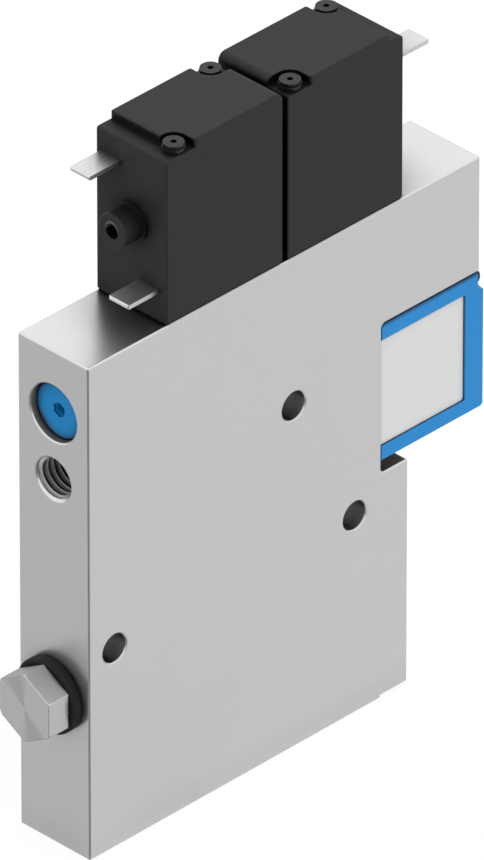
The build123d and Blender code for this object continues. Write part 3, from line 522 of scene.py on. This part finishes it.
def build_thread_tree():
    """A helical cutter along X, of a trapezoid that is wide at its root and narrow at its tip."""
    group = bpy.data.node_groups.new("thread_cutter", "GeometryNodeTree")
    for label, kind in (
        ("Tip Radius", "Float"),
        ("Root Radius", "Float"),
        ("Pitch", "Float"),
        ("Turns", "Float"),
        ("Start", "Vector"),
        ("Way", "Vector"),
        ("Material", "Material"),
    ):
        group.interface.new_socket(name=label, in_out="INPUT", socket_type=f"NodeSocket{kind}")
    group.interface.new_socket(name="Geometry", in_out="OUTPUT", socket_type="NodeSocketGeometry")
    tree = Tree(group)
    given = tree.add("NodeGroupInput").outputs
    result = tree.add("NodeGroupOutput").inputs
    both_radii = tree.math("ADD", given["Tip Radius"], given["Root Radius"])
    middle_radius = tree.math("MULTIPLY", both_radii, 0.5)
    helix = tree.add(
        "GeometryNodeCurveSpiral",
        {
            "Resolution": 40, "Rotations": given["Turns"], "Start Radius": middle_radius,
            "End Radius": middle_radius, "Height": tree.math("MULTIPLY", given["Pitch"], given["Turns"]),
        },
    )
    upright = tree.add("GeometryNodeSetCurveNormal", {"Curve": helix.outputs["Curve"]}, mode="Z_UP")
    section = tree.add(
        "GeometryNodeCurvePrimitiveQuadrilateral",
        {
            "Height": tree.math("SUBTRACT", given["Tip Radius"], given["Root Radius"]),
            "Bottom Width": tree.math("MULTIPLY", given["Pitch"], 0.14),
            "Top Width": tree.math("MULTIPLY", given["Pitch"], 0.84),
            "Offset": 0.0,
        },
        mode="TRAPEZOID",
    )
    laid_section = tree.add(
        "GeometryNodeTransform",
        {"Geometry": section.outputs["Curve"], "Rotation": (0.0, 0.0, -math.pi / 2)},
    )
    swept = tree.add(
        "GeometryNodeCurveToMesh",
        {
            "Curve": upright.outputs["Curve"], "Profile Curve": laid_section.outputs["Geometry"],
            "Fill Caps": True,
        },
    )
    laid = tree.add(
        "GeometryNodeTransform",
        {"Geometry": swept.outputs["Mesh"], "Translation": given["Start"], "Rotation": given["Way"]},
    )
    real = tree.add("GeometryNodeRealizeInstances", {"Geometry": laid.outputs["Geometry"]})
    finished = tree.add(
        "GeometryNodeSetMaterial", {"Geometry": real.outputs["Geometry"], "Material": given["Material"]}
    )
    tree.feed(result["Geometry"], finished.outputs["Geometry"])
    return group


def thread_cutter(name, start, way, turns, material):
    """The cutter as a plain mesh object. Its root lies inside the port's bore, clear of the crests."""
    sizes = bpy.context.scene.ejector_sizes
    crest_gap = 0.12 * MM
    group = bpy.data.node_groups.get("thread_cutter") or build_thread_tree()
    carrier = bpy.data.objects.new(name, bpy.data.meshes.new(name))
    bpy.context.scene.collection.objects.link(carrier)
    modifier = carrier.modifiers.new("thread", "NODES")
    modifier.node_group = group
    values = {
        "Tip Radius": sizes.thread_diameter / 2,
        "Root Radius": sizes.thread_diameter / 2 - sizes.thread_pitch * 0.5 - crest_gap,
        "Pitch": sizes.thread_pitch,
        "Turns": turns,
        "Start": start,
        "Way": way,
        "Material": material,
    }
    for item in group.interface.items_tree:
        if item.in_out == "INPUT":
            modifier[item.identifier] = values[item.name]
    bake(carrier)
    return carrier


def bake(piece):
    """Turn a piece's modifiers into a plain mesh and remove them."""
    view = bpy.context.evaluated_depsgraph_get()
    view.update()
    mesh = bpy.data.meshes.new_from_object(piece.evaluated_get(view), depsgraph=view)
    mesh.name = piece.name
    piece.modifiers.clear()
    piece.data = mesh


def threaded_copy(node, name, cutter, slot, body=ROOT):
    """A copy of a CAD node with a thread cut into its port, which stands for that node."""
    source = frame["nodes"][node]
    mesh = source.data.copy()
    mesh.name = name
    stored = mesh.attributes.get("custom_normal")
    if stored:
        mesh.attributes.remove(stored)
    form = bmesh.new()
    form.from_mesh(mesh)
    bmesh.ops.remove_doubles(form, verts=form.verts, dist=1e-7)
    form.to_mesh(mesh)
    form.free()
    piece = bpy.data.objects.new(name, mesh)
    bpy.context.scene.collection.objects.link(piece)
    cut = piece.modifiers.new("cut", "BOOLEAN")
    cut.operation = "DIFFERENCE"
    cut.solver = "EXACT"
    cut.object = cutter
    bake(piece)
    bpy.data.objects.remove(cutter)
    piece.data.shade_smooth()
    piece.data.set_sharp_from_angle(angle=math.radians(32))
    evened = piece.modifiers.new("evened", "WEIGHTED_NORMAL")
    evened.keep_sharp = True
    evened.weight = 100
    bake(piece)
    piece.data.materials.clear()
    piece.data.materials.append(bpy.data.materials[slot])
    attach(piece, body)
    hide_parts(node)


def thread_port(node, name, slot, mount, inward, mouth, spare=0.0):
    """Cut a thread into a port along X, from deep inside to just inside the mouth."""
    sizes = bpy.context.scene.ejector_sizes
    lo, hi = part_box(node)
    face = lo.x if inward > 0 else hi.x
    turns = math.floor(sizes.thread_reach / sizes.thread_pitch) - spare
    depth = mouth + turns * sizes.thread_pitch
    start = Vector((face + inward * depth, *mount_place(mount)[1:]))
    way = (0.0, -inward * math.pi / 2, 0.0)
    cutter = thread_cutter(f"{name}_cutter", start, way, turns, bpy.data.materials[slot])
    threaded_copy(node, name, cutter, slot)


# Operators, one for each group of pieces


class EJECTOR_OT_groups(bpy.types.Operator):
    """Build the shader groups that the finishes share"""

    bl_idname = "ejector.groups"
    bl_label = "Shared shader groups"

    def execute(self, context):
        build_grain_group()
        build_contact_group()
        build_axis_group()
        build_edge_group()
        build_turned_group()
        return {"FINISHED"}


class EJECTOR_OT_block(bpy.types.Operator):
    """Finish the aluminium block and cut the thread of its supply port"""

    bl_idname = "ejector.block"
    bl_label = "Housing block"

    def execute(self, context):
        # edge_tone below one paints shade on the block's edges instead of light
        block = grained(
            "block_aluminium", context.scene.ejector_finishes.aluminium, metal=1.0, rough=0.29,
            size=0.11 * MM, height=0.0004 * MM, tone=0.008, drift=0.012, edge=0.33, edge_radius=0.16 * MM,
            edge_tone=0.76, rough_swing=0.04, shade={"Closed": 0.35},
        )
        place = block.parts(block.place())
        facing = block.parts(block.normal())
        port_radius, bore_radius, plug_reach, front_depth = 2.7 * MM, 3.6 * MM, 7 * MM, 2.5 * MM
        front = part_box("housing")[0].x
        by_front = block.math("LESS_THAN", place["X"], front + front_depth)
        in_port = block.near(mount_place("supply_port"), port_radius)
        in_bore = block.math("MULTIPLY", block.near(middle("throttle_screw"), bore_radius), by_front)
        by_plug = block.math("MULTIPLY", block.near(middle("screw_plug"), plug_reach), by_front)
        self.shade(block, self.on_top(block, place, facing), in_port, in_bore, by_plug)
        self.thread(block, place, facing, in_port, front)
        thread_port("housing", "housing_block", "block_aluminium", "supply_port", 1, 0.1 * MM)
        return {"FINISHED"}

    def on_top(self, block, place, facing):
        """How much a spot faces up, apart from the heel under the filter frame."""
        frame_lo, frame_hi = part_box("filter_frame")
        behind = block.math("GREATER_THAN", place["X"], frame_lo.x)
        on_heel = block.math("MULTIPLY", behind, block.math("LESS_THAN", place["Z"], frame_hi.z))
        upward = block.math("MAXIMUM", facing["Z"], 0.0)
        return block.math("MULTIPLY", upward, block.math("SUBTRACT", 1.0, on_heel))

    def shade(self, block, on_top, in_port, in_bore, by_plug):
        """Contact shade: wider and deeper on top, and weaker in the openings and round the plug."""
        block.feed(block.contact["Reach"], block.math("MULTIPLY_ADD", on_top, 5 * MM, 4 * MM))
        port_lift = block.math("MULTIPLY", in_port, 0.4)
        recessed = block.math("ADD", port_lift, block.math("MULTIPLY", in_bore, 0.3))
        opened = block.math("ADD", block.math("MULTIPLY", by_plug, 0.35), recessed)
        dark = block.math("ADD", opened, block.math("MULTIPLY_ADD", on_top, -0.2, 0.4))
        block.feed(block.contact["Dark"], dark)
        near_dark = block.math("MULTIPLY_ADD", on_top, -0.2, 0.5)
        near_dark = block.math("MULTIPLY_ADD", block.math("MAXIMUM", in_bore, by_plug), 0.3, near_dark)
        block.feed(block.contact["Near Dark"], block.math("MULTIPLY_ADD", in_port, 0.5, near_dark))

    def thread(self, block, place, facing, in_port, front):
        """Painted shade in the thread: flanks that face the mouth stay grey, and everything else is
        painted nearly black.
        """
        mouth_depth, end_depth = 0.45 * MM, 8 * MM
        past_mouth = block.math("GREATER_THAN", place["X"], front + mouth_depth)
        in_reach = block.math("LESS_THAN", place["X"], front + end_depth)
        threaded = block.math("MULTIPLY", in_port, block.math("MULTIPLY", past_mouth, in_reach))
        # Painted shade: the more a surface turns away from the mouth, the darker it is painted
        painted_thread_shade = block.span(facing["X"], -0.7, -0.3, 0.4, 0.96)
        block.feed(block.shader["Metallic"], block.math("MULTIPLY_ADD", threaded, -0.7, 1.0))
        block.lay_over(block.math("MULTIPLY", painted_thread_shade, threaded), BLACK)


class EJECTOR_OT_plug(bpy.types.Operator):
    """Finish the screw plug and the seals"""

    bl_idname = "ejector.plug"
    bl_label = "Screw plug"

    def execute(self, context):
        finishes = context.scene.ejector_finishes
        centre = middle("screw_plug")
        turned("plug_steel", finishes.nickel, centre, (1.0, 0.0, 0.0), rough=0.22)
        rubber = grained(
            "black_rubber", finishes.rubber, rough=0.62, size=0.16 * MM, tone=0.15, edge=0.02,
            specular=0.2, shade={"Reach": 2 * MM, "Dark": 0.3},
        )
        face_radius = 4.12 * MM
        along = rubber.parts(rubber.place())["X"]
        ahead = rubber.math("LESS_THAN", along, middle("plug_seal").x)
        on_face = rubber.math("MULTIPLY", rubber.near(centre, face_radius), ahead)
        outside = rubber.math("LESS_THAN", along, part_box("housing")[0].x)
        on_ring = rubber.mix(on_face, grey(0.1), grey(0.7))
        rubber.feed(rubber.reflected, rubber.mix(outside, grey(0.02), on_ring))
        paint("plug_steel", "black_rubber")
        return {"FINISHED"}


class EJECTOR_OT_throttle(bpy.types.Operator):
    """Finish the throttle screw"""

    bl_idname = "ejector.throttle"
    bl_label = "Throttle screw"

    def execute(self, context):
        screw = grained(
            "blue_anodised", context.scene.ejector_finishes.blue_screw, metal=0.25, rough=0.42,
            size=0.08 * MM, height=0.001 * MM, tone=0.05, edge=0.06, specular=0.3, mirrored=0.17,
            shade={"Reach": 1.8 * MM, "Dark": 0.45, "Near_Reach": 1.3 * MM, "Near_Dark": 0.35},
        )
        hex_radius, hex_from, shadow_width = 1.2 * MM, 0.25 * MM, 1.0 * MM
        shadow_way = (0.0, 0.75, -0.66)
        hex_painted_light = (3.0, 4.4, 3.8, 1.0)
        lo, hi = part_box("throttle_screw")
        centre = (lo + hi) / 2
        rim = (hi.z - lo.z) / 2
        place = screw.place()
        sunk = screw.math("GREATER_THAN", screw.parts(place)["X"], lo.x + hex_from)
        hollow = screw.math("MULTIPLY", sunk, screw.near(centre, hex_radius))
        off = screw.vector("SUBTRACT", place, centre)
        # Painted shadow: the face is painted darker towards its lower edge, along shadow_way
        lower = screw.measure("DOT_PRODUCT", off, shadow_way)
        face = screw.level(screw.span(lower, rim - shadow_width, rim, 1.04, 0.35, "SMOOTHSTEP"))
        # Painted light: the hex socket is painted several times brighter
        screw.lay_over(1.0, screw.mix(hollow, face, hex_painted_light), "MULTIPLY")
        paint("blue_anodised")
        return {"FINISHED"}


class EJECTOR_OT_filter(bpy.types.Operator):
    """Finish the filter frame, its bowl, its pin and the vacuum port"""

    bl_idname = "ejector.filter"
    bl_label = "Filter"

    def execute(self, context):
        finishes = context.scene.ejector_finishes
        clip = grained(
            "blue_plastic", finishes.blue_clip, rough=0.45, size=0.14 * MM, height=0.002 * MM, tone=0.04,
            edge=0.05, specular=0.35, mirrored=0.13,
            shade={"Reach": 2.5 * MM, "Near_Reach": 1.4 * MM, "Near_Dark": 0.1},
        )
        painted_shade_width = 0.6 * MM
        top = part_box("filter_frame")[1].z
        height = clip.parts(clip.place())["Z"]
        # Painted shade: the frame is painted darker over a band below its top edge
        rim = clip.span(height, top - painted_shade_width, top, 1.0, 0.3, "SMOOTHSTEP")
        base = clip.shader["Base Color"]
        clip.feed(base, clip.mix(rim, BLACK, base.links[0].from_socket))
        grained(
            "pale_plastic", finishes.window, size=0.2 * MM, height=0.0015 * MM, tone=0.015, drift=0.015,
            edge=0.02, specular=0.3, subsurface=0.15, shade={"Dark": 0.75, "Near_Dark": 0.7},
        )
        grained(
            "filter_white", (0.8, 0.8, 0.78), rough=0.9, size=0.25 * MM, height=0.03 * MM, tone=0.1,
            edge=0.0,
        )
        grained(
            "dark_pin", (0.03, 0.028, 0.026), metal=0.6, rough=0.4, size=0.1 * MM, height=0.001 * MM,
            tone=0.1, edge=0.05, shade={"Reach": 1 * MM},
        )
        grained(
            "port_nickel", (0.55, 0.54, 0.5), metal=1.0, rough=0.25, size=0.1 * MM, height=0.001 * MM,
            tone=0.04, shade={"Reach": 4 * MM},
        )
        paint("blue_plastic", "pale_plastic", "filter_white", "dark_pin", "port_nickel")
        thread_port(
            "vacuum_port_insert", "vacuum_port_threaded", "port_nickel", "vacuum_port", -1, 0.05 * MM,
            spare=0.5,
        )
        return {"FINISHED"}


class EJECTOR_OT_valves(bpy.types.Operator):
    """Finish the valve cases, their screws and their terminals"""

    bl_idname = "ejector.valves"
    bl_label = "Solenoid valves"

    def execute(self, context):
        finishes = context.scene.ejector_finishes
        case = grained(
            "black_plastic", finishes.valve, size=0.13 * MM, height=0.002 * MM, tone=0.05, drift=0.03,
            edge=0.04, edge_radius=0.12 * MM, specular=0.25, mirrored=0.026,
            shade={"Reach": 5 * MM, "Closed": 0.52, "Near_Reach": 2 * MM},
        )
        boss_height, boss_radius = 10.35 * MM, 0.9 * MM
        lo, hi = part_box("vacuum_valve_case")
        boss = (lo.x, (lo.y + hi.y) / 2, lo.z + boss_height)
        in_boss = case.near(boss, boss_radius)
        case.feed(case.contact["Dark"], case.math("MULTIPLY_ADD", in_boss, 0.6, 0.15))
        case.feed(case.contact["Near Dark"], case.math("MULTIPLY_ADD", in_boss, 0.85, 0.08))
        # Painted light: the boss hole is painted four times brighter
        case.lay_over(1.0, case.mix(in_boss, WHITE, grey(4.0)), "MULTIPLY")
        grained(
            "black_screw", (0.04, 0.04, 0.04), metal=0.7, rough=0.27, size=0.09 * MM, height=0.001 * MM,
            tone=0.1, shade={"Reach": 1.5 * MM, "Dark": 0.5, "Near_Dark": 0.6},
        )
        grained(
            "tin_terminal", finishes.tin, metal=1.0, rough=0.38, size=0.1 * MM, height=0.0006 * MM,
            tone=0.12, edge_radius=0.05 * MM, squeeze=(0.04, 1.0, 1.0),
            shade={"Reach": 4 * MM, "Dark": 0.35, "Near_Dark": 0.6},
        )
        paint("black_plastic", "black_screw", "tin_terminal")
        return {"FINISHED"}


class EJECTOR_OT_inside(bpy.types.Operator):
    """Finish the pieces inside the block and inside the valves"""

    bl_idname = "ejector.inside"
    bl_label = "Inner pieces"

    def execute(self, context):
        rows = {
            "nozzle_brass": ((0.60, 0.42, 0.16), 1.0, 0.28),
            "silencer_felt": ((0.52, 0.52, 0.48), 0.0, 0.9),
            "retainer_steel": ((0.50, 0.50, 0.50), 1.0, 0.3),
            "steel_ball": ((0.56, 0.56, 0.56), 1.0, 0.15),
            "soft_iron": ((0.40, 0.40, 0.41), 1.0, 0.35),
            "copper_winding": ((0.50, 0.17, 0.06), 0.8, 0.3),
            "bobbin_plastic": ((0.60, 0.57, 0.45), 0.0, 0.5),
            "base_plastic": ((0.02, 0.02, 0.02), 0.0, 0.5),
            "spring_steel": ((0.45, 0.45, 0.45), 1.0, 0.3),
        }
        for slot, (tint, metal, rough) in rows.items():
            grained(slot, tint, metal=metal, rough=rough)
        paint(*rows)
        return {"FINISHED"}


class EJECTOR_OT_stage(bpy.types.Operator):
    """Set up the floor, the light and the camera"""

    bl_idname = "ejector.stage"
    bl_label = "Floor, light and camera"

    def execute(self, context):
        scene = context.scene
        studio = scene.ejector_studio
        scene.view_settings.view_transform = "Standard"
        self.floor(scene, studio)
        self.sky(scene, studio)
        lamp_place, lamp_size = Vector((0.8, -0.8, 0.8)), 0.5
        self.lamp(scene, "side_lamp", lamp_place, lamp_size, studio.side_power)
        self.camera(scene, studio)
        return {"FINISHED"}

    def floor(self, scene, studio):
        """Pale floor that keeps the shadow, shows white to the eye and is clear from below."""
        half, drop = 2.0, 0.02 * MM
        corners = [(-half, -half, 0), (half, -half, 0), (half, half, 0), (-half, half, 0)]
        mesh = bpy.data.meshes.new("floor")
        mesh.from_pydata(corners, [], [(0, 1, 2, 3)])
        floor = bpy.data.objects.new("floor", mesh)
        floor.location = (0, 0, -drop)
        scene.collection.objects.link(floor)
        material = bpy.data.materials.new("floor_paper")
        material.use_nodes = True
        material.node_tree.nodes.clear()
        tree = Tree(material.node_tree)
        noise = tree.add("ShaderNodeTexNoise", {"Vector": tree.place(), "Scale": 900.0, "Detail": 3.0})
        paper, share = studio.floor_colour, studio.floor_shown
        tone = tree.mix(noise.outputs["Fac"], rgba(paper), rgba(paper, 0.985))
        matt = tree.add("ShaderNodeBsdfDiffuse", {"Color": tone, "Roughness": 0.6}).outputs[0]
        whole, metal_share = 1.04, 0.85
        white = (whole - share * paper[0]) / (1.0 - share)
        path = tree.add("ShaderNodeLightPath").outputs
        seen = tree.mix_shaders(share, self.glow(tree, white), matt)
        for_eye = tree.mix_shaders(path["Is Camera Ray"], matt, seen)
        in_metal = self.glow(tree, self.floor_in_metal(tree, studio))
        glossy = tree.math("MULTIPLY", path["Is Glossy Ray"], metal_share)
        both = tree.mix_shaders(glossy, for_eye, in_metal)
        from_below = tree.add("ShaderNodeNewGeometry").outputs["Backfacing"]
        sided = tree.mix_shaders(from_below, both, tree.add("ShaderNodeBsdfTransparent").outputs[0])
        tree.feed(tree.add("ShaderNodeOutputMaterial").inputs["Surface"], sided)
        floor.data.materials.append(material)

    def glow(self, tree, strength):
        """Even white light from a surface."""
        return tree.add("ShaderNodeEmission", {"Color": WHITE, "Strength": strength}).outputs[0]

    def floor_in_metal(self, tree, studio):
        """Brightness of the floor in polished metal, by the side of the block's near corner it lies on."""
        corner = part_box("housing")[0]
        slant = math.sqrt(0.5)
        place = tree.add("ShaderNodeNewGeometry").outputs["Position"]
        way = tree.vector("NORMALIZE", tree.vector("SUBTRACT", place, (corner.x, corner.y, 0.0)))
        across = tree.measure("DOT_PRODUCT", way, (slant, -slant, 0.0))
        towards = tree.measure("DOT_PRODUCT", way, (-slant, -slant, 0.0))
        sides = tree.span(across, -0.6, 0.6, studio.floor_left, studio.floor_right, "SMOOTHSTEP")
        near = tree.span(towards, 0.6, 0.95, shape="SMOOTHSTEP")
        dim = tree.math("MULTIPLY", near, tree.math("SUBTRACT", studio.floor_near, sides))
        return tree.math("ADD", sides, dim)

    def sky(self, scene, studio):
        """Even soft light from all round, which looks white."""
        world = bpy.data.worlds.new("studio")
        scene.world = world
        world.use_nodes = True
        world.node_tree.nodes.clear()
        tree = Tree(world.node_tree)
        soft = tree.add("ShaderNodeBackground", {"Color": WHITE, "Strength": studio.sky_strength})
        white = tree.add("ShaderNodeBackground", {"Color": WHITE, "Strength": 1.0})
        for_eye = tree.add("ShaderNodeLightPath").outputs["Is Camera Ray"]
        seen = tree.mix_shaders(for_eye, soft.outputs[0], white.outputs[0])
        tree.feed(tree.add("ShaderNodeOutputWorld").inputs["Surface"], seen)

    def lamp(self, scene, name, place, size, power):
        """A square soft lamp that points at the block and isn't seen in polished metal."""
        light = bpy.data.lights.new(name, "AREA")
        light.shape = "SQUARE"
        light.size = size
        light.energy = power
        lamp = bpy.data.objects.new(name, light)
        lamp.location = place
        target = Vector((0, 0, 40 * MM))
        lamp.rotation_euler = (target - place).to_track_quat("-Z", "Y").to_euler()
        lamp.visible_glossy = False
        scene.collection.objects.link(lamp)

    def camera(self, scene, studio):
        """Long lens from the front left, above the block."""
        turn, rise = studio.camera_turn, studio.camera_rise
        back = Vector((math.sin(turn) * math.cos(rise), -math.cos(turn) * math.cos(rise), math.sin(rise)))
        right = Vector((math.cos(turn), math.sin(turn), 0))
        up = back.cross(right)
        target = Vector((8.875, 0, 30)) * MM
        shift_left, shift_up = 2.074 * MM, 5.152 * MM
        aim = target - right * shift_left + up * shift_up
        data = bpy.data.cameras.new("camera")
        data.lens = studio.camera_lens
        data.clip_end = 100.0
        camera = bpy.data.objects.new("camera", data)
        turned_to = Matrix((right, up, back)).transposed().to_4x4()
        camera.matrix_world = Matrix.Translation(aim + back * studio.camera_distance) @ turned_to
        scene.collection.objects.link(camera)
        scene.camera = camera


class EJECTOR_PT_panel(bpy.types.Panel):
    """Sizes, finishes and steps of the vacuum ejector"""

    bl_idname = "EJECTOR_PT_panel"
    bl_label = "Vacuum ejector"
    bl_space_type = "VIEW_3D"
    bl_region_type = "UI"
    bl_category = "Ejector"

    def draw(self, context):
        column = self.layout.column()
        scene = context.scene
        for group in (scene.ejector_sizes, scene.ejector_finishes, scene.ejector_studio):
            for key in group.__annotations__:
                column.prop(group, key)
        for step in STEPS:
            column.operator(step.bl_idname)


STEPS = (
    EJECTOR_OT_groups,
    EJECTOR_OT_block,
    EJECTOR_OT_plug,
    EJECTOR_OT_throttle,
    EJECTOR_OT_filter,
    EJECTOR_OT_valves,
    EJECTOR_OT_inside,
    EJECTOR_OT_stage,
)
CLASSES = (EjectorSizes, EjectorFinishes, EjectorStudio, *STEPS, EJECTOR_PT_panel)


def register():
    for item in CLASSES:
        bpy.utils.register_class(item)
    bpy.types.Scene.ejector_sizes = PointerProperty(type=EjectorSizes)
    bpy.types.Scene.ejector_finishes = PointerProperty(type=EjectorFinishes)
    bpy.types.Scene.ejector_studio = PointerProperty(type=EjectorStudio)


def unregister():
    del bpy.types.Scene.ejector_studio
    del bpy.types.Scene.ejector_finishes
    del bpy.types.Scene.ejector_sizes
    for item in reversed(CLASSES):
        bpy.utils.unregister_class(item)


def main():
    """Build every piece in order."""
    register()
    bpy.ops.ejector.groups()
    bpy.ops.ejector.block()
    bpy.ops.ejector.plug()
    bpy.ops.ejector.throttle()
    bpy.ops.ejector.filter()
    bpy.ops.ejector.valves()
    bpy.ops.ejector.inside()
    bpy.ops.ejector.stage()


if __name__ == "__main__":
    main()
